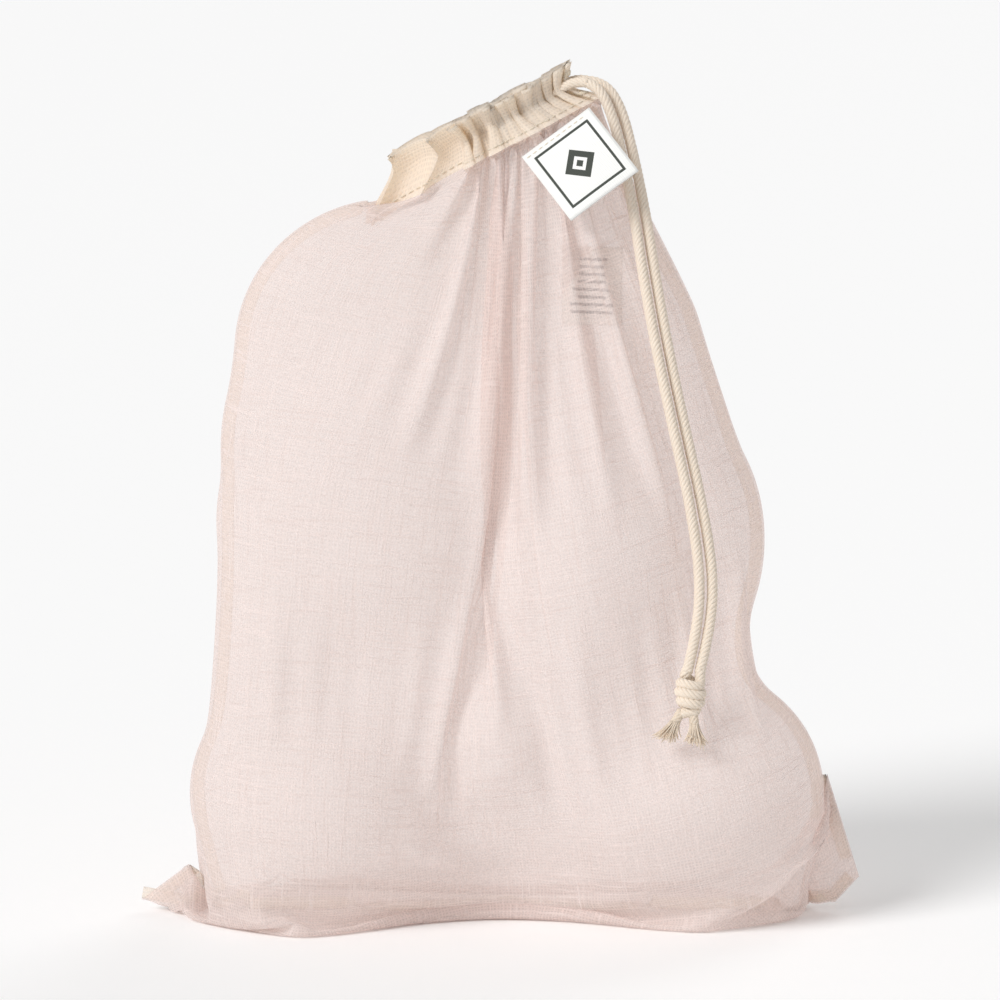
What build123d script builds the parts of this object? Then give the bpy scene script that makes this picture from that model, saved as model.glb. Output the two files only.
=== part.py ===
"""Drawstring produce bag of thin cotton gauze, standing filled with its mouth drawn closed.

Millimetres, +Z up, +X to the bag's right and -Y to its front. The origin is the middle of
the flat base. Each sub-part is one node in parts/.
"""
import os
from math import cos, pi, radians, sin, tan

from build123d import *

os.makedirs("parts", exist_ok=True)

# --- Body of the bag -------------------------------------------------------------------------
WALL = 1.0                  # stands in for the gauze, which is 0.3 thick
SEAM_WIDTH = 7.0            # turned-in seam allowance inside the bag
SEAM_THICK = 1.6
# Cross-sections of the filled bag: height, middle in X, half width, half depth.
SECTIONS = [
    (0.0, 0.0, 98.0, 40.0),
    (10.0, 0.0, 111.0, 50.0),
    (30.0, -1.0, 112.0, 56.0),
    (55.0, -3.5, 105.0, 56.0),
    (85.0, -9.5, 96.0, 54.0),
    (115.0, -11.0, 93.0, 52.0),
    (150.0, -12.0, 91.0, 50.0),
    (180.0, -14.5, 86.0, 45.0),
    (205.0, -18.0, 77.0, 38.0),
    (225.0, -17.0, 67.0, 30.0),
    (240.0, -13.5, 57.0, 23.0),
]
SEAM_TOP = 235.0            # the side allowances run up to here
# Corners of the flat bag that stick out at the foot: tips in X, and how high they point.
EAR_ROOT, EAR_TIP, EAR_HEIGHT = 98.0, (-129.0, 116.0), (4.0, 10.0)
EAR_ROOT_HEIGHT = 7.0
EAR_ROOT_RADII, EAR_TIP_RADII = (20.0, 6.0), (3.0, 1.5)

# --- Drawn mouth: a slanted ring of gathered hem, the casing ------------------------------------
RIM_TILT = 27.0             # the rim rises to the right
RIM_X, RIM_Z = -7.0, 278.0
CASING_LENGTH, CASING_DEPTH = 54.0, 26.0
MOUTH_LENGTH, MOUTH_DEPTH = 38.0, 12.0
CASING_HEIGHT = 14.0
CASING_ROOM = 4.0           # the panels' cut-out for the casing is this much longer and deeper
RIM_ROUNDING = 1.5
EXIT_SLIT = (8.0, 5.2)      # where both strands leave the casing: along the rim, and across it
NECK_HALF_LENGTH, NECK_HALF_DEPTH = 25.0, 12.0
STITCH = 0.6                # sewing thread standing on the cloth
STITCH_UP = 1.5             # stitch line above the casing's lower edge
BARTACK = (5.0, 1.2, 0.7)   # length across the slit's end, height, thickness
BARTACK_OFFSET = (-0.2, -3.0)       # from the casing's end along the rim, and across it
BARTACK_TURN = -14.0        # follows the casing's rounded end

# --- Drawstring -----------------------------------------------------------------------------------
CORD = 3.7                  # diameter
CHANNEL = CORD + 1.0        # diameter of the tunnel inside the hem
PULL = Vector(-0.16, -0.22, -1.0).normalized()      # the way the cord's end is pulled
KNOT_ACROSS = Vector(1, 0, PULL.X / -PULL.Z)        # square to the pull, along the bag
KNOT_HEIGHT = 13.0
KNOT_GAP = 1.1              # between the free strands' ends and the knot
# Sections down the knot: share of its height, half width, half depth.
KNOT_SECTIONS = ((0.0, 4.3, 2.9), (0.35, 5.3, 4.6), (0.7, 5.1, 4.4), (1.0, 3.9, 2.7))
TUFT_LENGTH = 11.0
TUFT_END_RADII = (3.5, 2.4)
# Each frayed tail: its name, its root beside the knot's middle, and how far it leans out.
TUFTS = (("front_tail_tuft", -1.95, -3.4), ("rear_tail_tuft", 1.95, 1.7))
# Loop inside the casing, in the plane of the rim: along the rim, and towards the back.
LOOP = [(27.5, -6.2), (17.0, -9.5), (-23.5, -9.5), (-23.5, 9.5), (19.0, 9.5), (22.5, 1.5),
        (28.0, -1.2)]
# Free strands, from the exit at the casing's right end down the bag's front to the knot.
FRONT_STRAND = [
    (22.8, -6.2, 285.1), (28.5, -7.6, 285.2), (34.6, -9.2, 276.5), (38.6, -11.5, 262.0),
    (41.0, -15.6, 243.5), (42.8, -21.6, 221.5), (46.0, -29.4, 197.0), (51.0, -35.8, 171.0),
    (56.6, -38.6, 146.0), (60.0, -40.2, 122.5), (58.8, -43.6, 105.0), (55.4, -48.0, 92.0),
]
REAR_STRAND = [
    (23.1, -1.6, 285.5), (30.2, -3.1, 286.2), (37.6, -5.6, 278.0), (42.4, -8.8, 262.8),
    (45.0, -13.4, 243.9), (46.8, -19.6, 221.8), (50.0, -27.2, 197.0), (54.9, -33.4, 171.2),
    (60.6, -36.6, 146.4), (64.4, -38.4, 122.8), (63.2, -42.4, 105.2), (59.6, -47.4, 92.0),
]

# --- Labels ---------------------------------------------------------------------------------------
LABEL_WIDTH, LABEL_DROP, LABEL_THICK = 28.0, 28.0, 0.7
LABEL_CORNER = (0.5, -18.6, 263.2)      # left end of the sewn edge
LABEL_EDGE = (0.80, 0.12, 0.58)         # direction of the sewn edge
LABEL_FALL = (0.52, -0.34, -0.78)       # direction of the free side
CARE_WIDTH, CARE_DROP, CARE_THICK = 22.0, 27.0, 0.6
CARE_TOP = (25.0, 19.6, 228.0)          # middle of the sewn edge
CARE_EDGE = (0.93, -0.37, 0.0)
SEW_MARGIN = 1.6            # from a label's edges to its stitching


def publish(builder, name):
    """Label a finished sub-part and write its file."""
    builder.part.label = name
    export_step(builder.part, f"parts/{name}.step")


def spread_radii(points):
    """Largest arcs that a route's runs allow, one for each corner."""
    radii = []
    for before, here, after in zip(points, points[1:], points[2:]):
        run_in, run_out = Vector(here) - Vector(before), Vector(after) - Vector(here)
        half_turn = radians(run_in.get_angle(run_out)) / 2
        radii.append(0.45 * min(run_in.length, run_out.length) / tan(half_turn))
    return radii


def rim_plane(up):
    """Plane across the drawn mouth, `up` above the rim and square to its slant."""
    tilt = radians(RIM_TILT)
    along, out = (cos(tilt), 0, sin(tilt)), (-sin(tilt), 0, cos(tilt))
    return Plane(origin=(RIM_X + up * out[0], 0, RIM_Z + up * out[2]), x_dir=along, z_dir=out)


def bag_sections(inset):
    """Sketches of the bag's cross-sections, drawn in by `inset`, ready for a loft."""
    sections = []
    for height, middle, half_width, half_depth in SECTIONS:
        floor = inset if height == 0.0 else 0.0
        with BuildSketch(Plane.XY.offset(height + floor)) as section:
            with Locations((middle, 0)):
                Ellipse(half_width - inset, max(half_depth - inset, STITCH))
        sections.append(section.sketch)
    with BuildSketch(rim_plane(-CASING_HEIGHT)) as neck:
        Ellipse(NECK_HALF_LENGTH - inset, max(NECK_HALF_DEPTH - inset, STITCH))
    return sections + [neck.sketch]


# --- Cloth body: one sewn shell, split into its front and back panels -----------------------------
with BuildPart() as hollow:
    loft(bag_sections(WALL))

with BuildPart() as hollow_less_seams:
    loft(bag_sections(WALL + SEAM_WIDTH))

with BuildPart() as shell:
    loft(bag_sections(0.0))
    for tip, height in zip(EAR_TIP, EAR_HEIGHT):
        side = 1 if tip > 0 else -1
        with BuildSketch(Plane.YZ.offset(side * EAR_ROOT)):
            with Locations((0, EAR_ROOT_HEIGHT)):
                Ellipse(*EAR_ROOT_RADII)
        with BuildSketch(Plane.YZ.offset(tip)):
            with Locations((0, height)):
                Ellipse(*EAR_TIP_RADII)
        loft()
    add(hollow.part, mode=Mode.SUBTRACT)

with BuildPart() as casing_room:        # where the casing sits on the neck
    with BuildSketch(rim_plane(-CASING_HEIGHT)):
        SlotOverall(CASING_LENGTH + CASING_ROOM, CASING_DEPTH + CASING_ROOM)
    extrude(amount=CASING_HEIGHT)

panels = {}
for side_name, keep_side in (("front", Keep.TOP), ("back", Keep.BOTTOM)):
    with BuildPart() as panel:
        add(shell.part)
        split(bisect_by=Plane.XZ, keep=keep_side)
        add(casing_room.part, mode=Mode.SUBTRACT)
    panels[side_name] = panel.part
    publish(panel, f"{side_name}_panel")

# --- Seam allowances: a strip standing in from the side and bottom seams --------------------------
with BuildPart() as allowance:
    with BuildSketch(Plane.XZ):
        with Locations((0, SEAM_TOP / 2)):
            Rectangle(EAR_TIP[1] - EAR_TIP[0], SEAM_TOP)
    extrude(amount=SEAM_THICK / 2, both=True)
    add(hollow.part, mode=Mode.INTERSECT)
    add(hollow_less_seams.part, mode=Mode.SUBTRACT)

above_bottom = Plane.XY.offset(WALL + SEAM_WIDTH)
with BuildPart() as bottom_seam:
    add(allowance.part)
    split(bisect_by=above_bottom, keep=Keep.BOTTOM)
publish(bottom_seam, "bottom_seam")

for seam_name, keep_side in (("left_side_seam", Keep.BOTTOM), ("right_side_seam", Keep.TOP)):
    with BuildPart() as side_seam:
        add(allowance.part)
        split(bisect_by=above_bottom, keep=Keep.TOP)
        split(bisect_by=Plane.YZ, keep=keep_side)
    publish(side_seam, seam_name)

# --- Casing with the cord's tunnel ----------------------------------------------------------------
mid_casing = rim_plane(-CASING_HEIGHT / 2)
loop_radii = spread_radii([(u, v, 0) for u, v in LOOP])


def loop_tube(diameter):
    """Solid tube along the cord's way round inside the hem."""
    with BuildPart() as tube:
        with BuildLine(mid_casing) as way:
            FilletPolyline(*LOOP, radius=loop_radii)
        with BuildSketch(Plane(origin=way.line @ 0, z_dir=way.line % 0)):
            Circle(diameter / 2)
        sweep(path=way.line)
    return tube


tunnel = loop_tube(CHANNEL)
with BuildPart() as casing:
    with BuildSketch(rim_plane(-CASING_HEIGHT)):
        SlotOverall(CASING_LENGTH, CASING_DEPTH)
        SlotOverall(MOUTH_LENGTH, MOUTH_DEPTH, mode=Mode.SUBTRACT)
    extrude(amount=CASING_HEIGHT)
    fillet(casing.faces().sort_by(Axis((0, 0, 0), rim_plane(0).z_dir))[-1].edges(), radius=RIM_ROUNDING)
    add(tunnel.part, mode=Mode.SUBTRACT)
    with BuildSketch(mid_casing.offset(-CHANNEL / 2)):
        with Locations(((LOOP[0][0] + LOOP[-1][0]) / 2, (LOOP[0][1] + LOOP[-1][1]) / 2)):
            Rectangle(*EXIT_SLIT)
    extrude(amount=CHANNEL, mode=Mode.SUBTRACT)

for casing_name, keep_side in (("front_casing", Keep.TOP), ("back_casing", Keep.BOTTOM)):
    with BuildPart() as half_casing:
        add(casing.part)
        split(bisect_by=Plane.XZ, keep=keep_side)
    publish(half_casing, casing_name)

# --- Stitching round the casing's lower edge ------------------------------------------------------
with BuildPart() as casing_thread:
    with BuildSketch(rim_plane(STITCH_UP - CASING_HEIGHT)):
        SlotOverall(CASING_LENGTH + 2 * STITCH, CASING_DEPTH + 2 * STITCH)
        SlotOverall(CASING_LENGTH, CASING_DEPTH, mode=Mode.SUBTRACT)
    extrude(amount=STITCH)

for side_name, keep_side in (("front", Keep.TOP), ("back", Keep.BOTTOM)):
    with BuildPart() as half_thread:
        add(casing_thread.part)
        split(bisect_by=Plane.XZ, keep=keep_side)
        add(panels[side_name], mode=Mode.SUBTRACT)
    publish(half_thread, f"{side_name}_casing_stitching")

# Two short bars of thread that stop the exit slit from tearing.
bartack_u = CASING_LENGTH / 2 + BARTACK_OFFSET[0]
bartack_up = (CHANNEL + 2 * WALL) / 2
with BuildPart() as exit_bartacks:
    for up in (bartack_up, -bartack_up):
        place = Location((bartack_u, BARTACK_OFFSET[1], up), (0, 0, BARTACK_TURN))
        with Locations(mid_casing * place):
            Box(BARTACK[2], BARTACK[0], BARTACK[1], align=(Align.MIN, Align.CENTER, Align.CENTER))
    add(casing.part, mode=Mode.SUBTRACT)
publish(exit_bartacks, "exit_bartacks")

# --- Drawstring -----------------------------------------------------------------------------------
drawstring_loop = loop_tube(CORD)
publish(drawstring_loop, "drawstring_loop")


def report_cord(name, part, length, radii):
    """Print a cord's length and arcs, and its volume beside section times length."""
    section = pi * CORD ** 2 / 4
    print(f"{name}: length {length:.1f}, radii {[round(r, 1) for r in radii]}, "
          f"volume {part.volume:.1f} beside {section * length:.1f}")


for strand_name, route in (("drawstring_front_strand", FRONT_STRAND),
                           ("drawstring_rear_strand", REAR_STRAND)):
    strand_radii = spread_radii(route)
    with BuildPart() as strand:
        with BuildLine() as strand_way:
            FilletPolyline(*route, radius=strand_radii)
        with BuildSketch(Plane(origin=strand_way.line @ 0, z_dir=strand_way.line % 0)):
            Circle(CORD / 2)
        sweep(path=strand_way.line)
    report_cord(strand_name, strand.part, strand_way.wires()[0].length, strand_radii)
    publish(strand, strand_name)

knot_top = Vector(*[(a + b) / 2 for a, b in zip(FRONT_STRAND[-1], REAR_STRAND[-1])])
with BuildPart() as drawstring_knot:
    for share, half_width, half_depth in KNOT_SECTIONS:
        centre = knot_top + PULL * (KNOT_GAP + share * KNOT_HEIGHT)
        with BuildSketch(Plane(origin=centre, x_dir=KNOT_ACROSS, z_dir=PULL)):
            Ellipse(half_width, half_depth)
    loft()
publish(drawstring_knot, "drawstring_knot")

knot_foot = knot_top + PULL * (KNOT_GAP + KNOT_HEIGHT)
for tuft_name, root_x, spread in TUFTS:
    with BuildPart() as tuft:
        tuft_root = knot_foot + KNOT_ACROSS * root_x
        with BuildSketch(Plane(origin=tuft_root, x_dir=KNOT_ACROSS, z_dir=PULL)):
            Circle(CORD / 2)
        tuft_end = tuft_root + Vector(spread, 0, 0) + PULL * TUFT_LENGTH
        with BuildSketch(Plane(origin=tuft_end, x_dir=KNOT_ACROSS, z_dir=PULL)):
            Ellipse(*TUFT_END_RADII)
        loft()
        add(drawstring_knot.part, mode=Mode.SUBTRACT)
    publish(tuft, tuft_name)

# --- Labels ---------------------------------------------------------------------------------------
edge = Vector(LABEL_EDGE).normalized()
facing = edge.cross(Vector(LABEL_FALL)).normalized()
facing = facing if facing.Y < 0 else -facing
fall = facing.cross(edge).normalized()
fall = fall if fall.Z < 0 else -fall
label_middle = Vector(LABEL_CORNER) + edge * (LABEL_WIDTH / 2)
label_plane = Plane(origin=label_middle, x_dir=edge, z_dir=facing)
fall_sign = 1 if label_plane.y_dir.dot(fall) > 0 else -1
with BuildPart() as maker_label:
    with BuildSketch(label_plane):
        with Locations((0, fall_sign * LABEL_DROP / 2)):
            Rectangle(LABEL_WIDTH, LABEL_DROP)
    extrude(amount=LABEL_THICK)
publish(maker_label, "maker_label")

with BuildPart() as label_stitching:
    with BuildSketch(label_plane.offset(LABEL_THICK)):
        with Locations((0, fall_sign * SEW_MARGIN)):
            Rectangle(LABEL_WIDTH - 2 * SEW_MARGIN, STITCH)
    extrude(amount=STITCH / 2)
publish(label_stitching, "maker_label_stitching")

care_edge = Vector(CARE_EDGE).normalized()
care_plane = Plane(origin=CARE_TOP, x_dir=care_edge, z_dir=care_edge.cross(Vector(0, 0, 1)))
care_up = 1 if care_plane.y_dir.Z > 0 else -1
with BuildPart() as care_label:
    with BuildSketch(care_plane):
        with Locations((0, -care_up * CARE_DROP / 2)):
            Rectangle(CARE_WIDTH, CARE_DROP)
    extrude(amount=CARE_THICK)
publish(care_label, "care_label")

with BuildPart() as care_stitching:
    with BuildSketch(care_plane.offset(CARE_THICK)):
        with Locations((0, -care_up * SEW_MARGIN)):
            Rectangle(CARE_WIDTH - 2 * SEW_MARGIN, STITCH)
    extrude(amount=STITCH / 2)
publish(care_stitching, "care_label_stitching")
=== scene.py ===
"""Drawstring produce bag of cotton gauze: its looks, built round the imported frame.

The bag stands filled with its mouth drawn closed. Its cloth is cut flat, seated over rounded
forms the size of fruit and relaxed as cloth, then sewn, corded and labelled.
"""
import logging
import math
from dataclasses import dataclass, field
from enum import Enum

import bpy
import numpy as np
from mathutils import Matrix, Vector


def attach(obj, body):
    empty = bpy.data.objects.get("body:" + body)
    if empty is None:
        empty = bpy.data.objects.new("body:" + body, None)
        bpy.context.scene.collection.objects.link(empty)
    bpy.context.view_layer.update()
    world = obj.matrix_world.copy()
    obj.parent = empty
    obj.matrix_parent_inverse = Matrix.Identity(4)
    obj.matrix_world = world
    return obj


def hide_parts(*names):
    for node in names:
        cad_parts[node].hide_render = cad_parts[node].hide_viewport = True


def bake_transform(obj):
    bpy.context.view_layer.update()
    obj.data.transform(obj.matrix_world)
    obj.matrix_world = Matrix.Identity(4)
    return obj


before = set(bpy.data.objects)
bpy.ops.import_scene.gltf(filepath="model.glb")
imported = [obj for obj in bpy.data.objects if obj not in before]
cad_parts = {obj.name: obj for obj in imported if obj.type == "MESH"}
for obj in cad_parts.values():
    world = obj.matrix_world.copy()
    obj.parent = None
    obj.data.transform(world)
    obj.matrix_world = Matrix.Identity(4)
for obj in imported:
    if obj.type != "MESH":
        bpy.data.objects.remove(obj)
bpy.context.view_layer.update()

LOG = logging.getLogger("produce_bag")
MM = 0.001
SEED = 11

# Flat pattern of one panel, in millimetres: two such panels are sewn face to face. The hem is
# turned down inside, and the bottom seam takes up an allowance.
PANEL_WIDTH = 275.0
PANEL_HEIGHT = 335.0
CASING_DEPTH = 15.0
BOTTOM_ALLOWANCE = 7.0
BODY_HEIGHT = PANEL_HEIGHT - 2 * CASING_DEPTH - BOTTOM_ALLOWANCE
ROUND = 2 * PANEL_WIDTH
CORD_DIAMETER = 3.7

# Where the drawn rim lies, in millimetres, and how it slants up to the right.
RIM_CENTRE = np.array([-11.5, 0.0, 277.5])
RIM_TILT = math.radians(27.0)
RIM_ALONG = np.array([math.cos(RIM_TILT), 0.0, math.sin(RIM_TILT)])
RIM_UP = np.array([-math.sin(RIM_TILT), 0.0, math.cos(RIM_TILT)])
DEPTHWAYS = np.array([0.0, 1.0, 0.0])


class Body(str, Enum):
    """Bodies of the frame that a piece can ride on."""

    BAG = "bag"
    STRANDS = "drawstring_strands"
    END = "drawstring_end"
    LABEL = "maker_label"
    CARE = "care_label"


class Panel(Enum):
    """The two cut panels."""

    FRONT = "front"
    BACK = "back"

    @property
    def start(self) -> float:
        """Place round the cloth in mm at which the panel starts."""
        return 0.0 if self is Panel.FRONT else PANEL_WIDTH


def linear(hex_colour: str) -> tuple[float, float, float, float]:
    """Turn an sRGB hex colour into linear RGBA.

    Args:
        hex_colour: Colour such as "#F0E6DE".

    Returns:
        Linear red, green, blue and an alpha of 1.
    """
    channels = [int(hex_colour[i:i + 2], 16) / 255 for i in (1, 3, 5)]
    straight = [c / 12.92 if c <= 0.04045 else ((c + 0.055) / 1.055) ** 2.4 for c in channels]
    return (*straight, 1.0)


def add_node(material: bpy.types.Material, kind: str, settings: dict | None = None,
             **links) -> bpy.types.Node:
    """Add one shader node with its settings and links.

    Args:
        material: Material whose tree takes the node.
        kind: The node's type, without its ShaderNode prefix.
        settings: Properties of the node by name.
        **links: Input sockets by number, as i0, i1 and so on, or by name with _ for a space.
            Each is given a value, a socket, or a node that stands for its first output.

    Returns:
        The new node.
    """
    node = material.node_tree.nodes.new("ShaderNode" + kind)
    for key, value in (settings or {}).items():
        setattr(node, key, value)
    for key, value in links.items():
        plain = key.replace("_", " ")
        socket = node.inputs[int(key[1:])] if key[1:].isdigit() else next(
            s for s in node.inputs if s.name.lower() == plain.lower())
        if isinstance(value, bpy.types.Node):
            value = value.outputs[0]
        if isinstance(value, bpy.types.NodeSocket):
            material.node_tree.links.new(value, socket)
        else:
            socket.default_value = value
    return node


def blank_material(name: str) -> bpy.types.Material:
    """Make a node material with an empty tree."""
    material = bpy.data.materials.new(name)
    material.use_nodes = True
    material.node_tree.nodes.clear()
    return material


@dataclass(frozen=True)
class GauzeFinish:
    """Unbleached cotton gauze, plain woven and matt: slubby threads with gaps that show through."""

    name: str = "cotton_gauze"
    thread: str = "#F7EEEB"
    glow: str = "#F8E8E2"
    pitch: float = 1.15         # real threads lie 0.7 mm apart; drawn wider so that they show
    slub_width: float = 0.9
    slub_length: float = 15.0
    cover: float = 0.56         # share of light that one layer stops between slubs
    slub_cover: float = 0.30

    def build(self) -> bpy.types.Material:
        """Build the weave from the cloth's flat coordinates, which are its UV map in metres."""
        m = blank_material(self.name)
        uv = add_node(m, "TexCoord").outputs["UV"]
        flat = add_node(m, "VectorMath", {"operation": "SCALE"}, i0=uv, Scale=1000.0).outputs[0]
        wobble = add_node(m, "TexNoise", None, Vector=flat, Scale=0.12,
                          Detail=2.0).outputs["Color"]
        bent = add_node(m, "VectorMath", {"operation": "MULTIPLY_ADD"}, i0=wobble,
                        i1=(1.6, 1.6, 0.0), i2=flat).outputs[0]
        threads, slubs = [], []
        for way, bands in (((1, 0), "X"), ((0, 1), "Y")):
            threads.append(add_node(
                m, "TexWave", {"wave_type": "BANDS", "bands_direction": bands}, Vector=bent,
                Scale=math.pi / 10 / self.pitch, Distortion=1.2, Detail=1.0,
                Detail_Scale=0.6).outputs["Fac"])
            fine, along = 1 / self.slub_width, 1 / self.slub_length
            stretch = (fine, along, 1.0) if way[0] else (along, fine, 1.0)
            drawn = add_node(m, "VectorMath", {"operation": "MULTIPLY"}, i0=bent, i1=stretch)
            streak = add_node(m, "TexNoise", None, Vector=drawn, Scale=0.55,
                              Detail=3.0, Roughness=0.6).outputs["Fac"]
            slubs.append(add_node(m, "MapRange", {"interpolation_type": "SMOOTHSTEP"},
                                  Value=streak, From_Min=0.50, From_Max=0.72).outputs[0])
        weave = add_node(m, "Math", {"operation": "MAXIMUM"}, i0=threads[0], i1=threads[1])
        slub = add_node(m, "Math", {"operation": "MAXIMUM"}, i0=slubs[0], i1=slubs[1])
        patches = add_node(m, "TexNoise", None, Vector=flat, Scale=0.05,
                           Detail=3.0).outputs["Fac"]
        woven = add_node(m, "Math", {"operation": "MULTIPLY_ADD"}, i0=weave, i1=0.16,
                         i2=self.cover - 0.10)
        slubbed = add_node(m, "Math", {"operation": "MULTIPLY_ADD"}, i0=slub,
                           i1=self.slub_cover, i2=woven)
        cover = add_node(m, "Math", {"operation": "MULTIPLY_ADD", "use_clamp": True}, i0=patches,
                         i1=0.10, i2=slubbed)
        height = add_node(m, "Math", {"operation": "ADD"}, i0=weave,
                          i1=slub)
        bump = add_node(m, "Bump", None, Strength=0.45, Distance=0.25 * MM,
                        Height=height)
        cloth = add_node(m, "BsdfPrincipled", None, Base_Color=linear(self.thread),
                         Roughness=0.92, Sheen_Weight=0.25, Sheen_Roughness=0.5,
                         Specular_IOR_Level=0.2, Normal=bump)
        glow = add_node(m, "BsdfTranslucent", None, Color=linear(self.glow),
                        Normal=bump)
        lit = add_node(m, "MixShader", None, Fac=0.45, i1=cloth, i2=glow)
        gaps = add_node(m, "BsdfTransparent")
        mixed = add_node(m, "MixShader", None, Fac=cover, i1=gaps,
                         i2=lit)
        add_node(m, "OutputMaterial", None, Surface=mixed)
        return m


@dataclass(frozen=True)
class FibreFinish:
    """Spun cotton with no gaps, such as cord or sewing thread: matt, with fine fibres."""

    name: str
    light: str
    dark: str
    grain: float                # width of the fibres in mm
    roughness: float = 0.85
    glow: float = 0.12          # share of light that goes through
    bump: float = 0.12          # height of the fibres in mm

    def build(self) -> bpy.types.Material:
        """Build the fibres from a fine noise in the object's own coordinates."""
        m = blank_material(self.name)
        place = add_node(m, "TexCoord").outputs["Object"]
        fibres = add_node(m, "TexNoise", None, Vector=place, Scale=1 / (self.grain * MM),
                          Detail=4.0, Roughness=0.65).outputs["Fac"]
        tone = add_node(m, "MapRange", None, Value=fibres, From_Min=0.3, From_Max=0.7).outputs[0]
        colour = add_node(m, "Mix", {"data_type": "RGBA"}, i0=tone, i6=linear(self.dark),
                          i7=linear(self.light)).outputs[2]
        bump = add_node(m, "Bump", None, Strength=0.6, Distance=self.bump * MM, Height=fibres)
        solid = add_node(m, "BsdfPrincipled", None, Base_Color=colour, Roughness=self.roughness,
                         Sheen_Weight=0.2, Specular_IOR_Level=0.25, Normal=bump)
        through = add_node(m, "BsdfTranslucent", None, Color=linear(self.light),
                           Normal=bump)
        mixed = add_node(m, "MixShader", None, Fac=self.glow, i1=solid,
                         i2=through)
        add_node(m, "OutputMaterial", None, Surface=mixed)
        return m


def smoothstep(low: float, high: float, value: np.ndarray) -> np.ndarray:
    """Rise smoothly from 0 at `low` to 1 at `high`."""
    share = np.clip((value - low) / (high - low), 0.0, 1.0)
    return share * share * (3 - 2 * share)


def angle_gap(one: np.ndarray, two: float) -> np.ndarray:
    """Signed difference of two angles in radians, the short way round."""
    return np.mod(one - two + math.pi, 2 * math.pi) - math.pi


def make_piece(name: str, points: np.ndarray, faces: list, material: bpy.types.Material,
               body: Body | None, slot: str,
               uv: np.ndarray | None = None) -> bpy.types.Object:
    """Make a mesh piece that rides on a body.

    Args:
        name: Name of the piece.
        points: Corner points in millimetres.
        faces: Corner numbers of each face.
        material: Finish of the piece.
        body: Body it moves with, or None for a piece that rides on no body.
        slot: The record's material slot that it stands for; not used.
        uv: Flat coordinates of each point in metres, if the finish needs them.

    Returns:
        The new object.
    """
    mesh = bpy.data.meshes.new(name)
    mesh.from_pydata((np.asarray(points, dtype=float) * MM).tolist(), [], faces)
    if uv is not None:
        layer = mesh.uv_layers.new(name="flat_cloth")
        corners = np.empty(len(mesh.loops), dtype=np.int32)
        mesh.loops.foreach_get("vertex_index", corners)
        layer.data.foreach_set("uv", np.asarray(uv, dtype=np.float32)[corners].ravel())
    mesh.shade_smooth()
    mesh.materials.append(material)
    piece = bpy.data.objects.new(name, mesh)
    bpy.context.scene.collection.objects.link(piece)
    if body is not None:
        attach(piece, body.value)
    LOG.info("%s: %d faces", name, len(faces))
    return piece


def ring_faces(rings: int, sides: int, first: int = 0) -> list[tuple[int, int, int, int]]:
    """Faces between closed rings of `sides` points that are numbered on from `first`."""
    return [(first + i * sides + k, first + i * sides + (k + 1) % sides,
             first + (i + 1) * sides + (k + 1) % sides, first + (i + 1) * sides + k)
            for i in range(rings - 1) for k in range(sides)]


def grid_faces(columns: int, rows: int) -> list[tuple[int, int, int, int]]:
    """Quads of a grid whose points run row by row within each column."""
    return [(i * rows + j, (i + 1) * rows + j, (i + 1) * rows + j + 1, i * rows + j + 1)
            for i in range(columns - 1) for j in range(rows - 1)]


@dataclass(frozen=True)
class Form:
    """A rounded form, the size of a fruit, that the cloth is seated over and that is then gone."""

    centre: tuple[float, float, float]
    radii: tuple[float, float, float]


FORMS = (
    Form((-53, -9, 137), (50, 40, 56)),         # large fruit, left
    Form((-69, -6, 43), (44, 46, 43)),          # bottom left
    Form((59, -6, 43), (45, 46, 43)),           # bottom right
    Form((22, -13, 124), (36, 37, 44)),         # right, towards the front
    Form((52, 9, 128), (32, 32, 47)),           # right, behind
    Form((-6, -16, 66), (21, 25, 26)),          # small one in the middle
    Form((-48, 16, 118), (44, 33, 60)),         # left, behind
    Form((-8, 15, 43), (40, 38, 42)),           # bottom, behind
    Form((-60, 2, 160), (42, 35, 58)),          # left, above the large one
    Form((-43, 0, 194), (54, 27, 52)),          # fullness of the left shoulder
    Form((14, 0, 190), (49, 25, 50)),           # fullness of the right shoulder
)


@dataclass(frozen=True)
class Press:
    """A place where a hand presses the slack cloth in between the forms."""

    centre: tuple[float, float, float]
    reach: float
    push: tuple[float, float, float]


PRESSES = (
    Press((-6, -44, 6), 34, (0.0, 0.30, 0.05)),         # under the front, between the forms
    Press((-6, 44, 6), 34, (0.0, -0.20, 0.05)),         # the same behind
    Press((90, 0, 93), 20, (-0.25, 0.0, 0.0)),          # right waist
    Press((-110, 0, 62), 12, (0.12, 0.0, 0.0)),         # left waist
    Press((-58, -52, 88), 20, (0.0, 0.24, 0.0)),        # below the large fruit
    Press((-8, -50, 118), 20, (0.0, 0.24, 0.0)),        # between the left and the right
    Press((48, -50, 84), 18, (0.0, 0.24, 0.0)),         # above the bottom right one
    Press((-16, -34, 212), 14, (0.0, 0.22, 0.0)),       # fold below the middle of the hem
    Press((-25, -22, 250), 7, (0.0, 0.34, 0.0)),        # deep fold down to the left
    Press((-30, -27, 238), 8, (0.0, 0.34, 0.0)),
    Press((-35, -31, 225), 9, (0.0, 0.30, 0.0)),
    Press((-50, -22, 240), 6, (0.0, 0.30, 0.0)),        # pleat on the left shoulder
    Press((-60, -26, 226), 7, (0.0, 0.28, 0.0)),
    Press((4, -26, 244), 6, (0.0, 0.32, 0.0)),          # long fold down to the right
    Press((12, -30, 230), 7, (0.0, 0.32, 0.0)),
    Press((20, -33, 215), 8, (0.0, 0.30, 0.0)),
    Press((28, -37, 198), 9, (0.0, 0.26, 0.0)),
    Press((20, 48, 100), 26, (0.0, -0.22, 0.0)),        # behind, between left and right
)


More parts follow.
